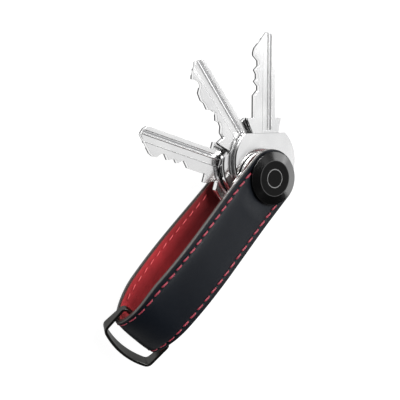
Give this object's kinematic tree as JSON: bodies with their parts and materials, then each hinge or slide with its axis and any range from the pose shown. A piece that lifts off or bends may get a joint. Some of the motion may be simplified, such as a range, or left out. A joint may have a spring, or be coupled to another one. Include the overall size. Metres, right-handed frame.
{
  "type": "key organiser",
  "caption": "Leather strap key organiser: a folded strap loop clamps fanned keys on a screw post, with a D-ring at the fold.",
  "frame": {"origin": "on the clamp post's axis, at the coin slot in the middle of the rear cap's flat outer face", "axes": "+Z along the post towards the front cap, -X along the strap to the fold and D-ring, +Y to the side the keys fan out to"},
  "size_m": [0.1156, 0.06, 0.0196],
  "materials": {
    "outer_leather": "matte",
    "lining_leather": "matte",
    "stitching": "matte",
    "black_metal": "satin",
    "post_steel": "satin",
    "plate_steel": "satin",
    "nylon": "matte",
    "key_metal": "satin",
    "gunmetal": "gloss"
  },
  "bodies": {
    "strap": {"outer_leather": "outer_leather", "lining_leather": "lining_leather", "outer_thread_left": "stitching", "outer_thread_right": "stitching", "inner_thread_left": "stitching", "inner_thread_right": "stitching", "front_cap": "black_metal", "front_inlay": "black_metal", "barrel_post": "post_steel", "front_end_plate": "plate_steel", "rear_end_plate": "plate_steel", "front_washer": "nylon", "middle_washer": "nylon", "rear_spacer": "nylon", "disc_spring": "post_steel"},
    "clamp_screw": {"rear_cap": "black_metal", "clamp_screw": "post_steel"},
    "key_1": {"key_1": "key_metal"},
    "key_2": {"key_2": "key_metal"},
    "key_3": {"key_3": "key_metal"},
    "d_ring": {"d_ring": "gunmetal"}
  },
  "joints": [
    {"name": "key_1_swing", "type": "hinge", "parent": "strap", "child": "key_1", "pos_m": [0, 0, 0.01325], "axis": [0, 0, 1], "continuous": true},
    {"name": "key_2_swing", "type": "hinge", "parent": "strap", "child": "key_2", "pos_m": [0, 0, 0.01105], "axis": [0, 0, 1], "continuous": true},
    {"name": "key_3_swing", "type": "hinge", "parent": "strap", "child": "key_3", "pos_m": [0, 0, 0.00795], "axis": [0, 0, 1], "continuous": true},
    {"name": "clamp_screw_turn", "type": "hinge", "parent": "strap", "child": "clamp_screw", "pos_m": [0, 0, 0], "axis": [0, 0, 1], "continuous": true},
    {"name": "d_ring_swing", "type": "hinge", "parent": "strap", "child": "d_ring", "pos_m": [-0.0667, -0.0005, 0.0113], "axis": [-0.0798, 0.9898, -0.1178], "range_deg": [-12, 100]}
  ]
}
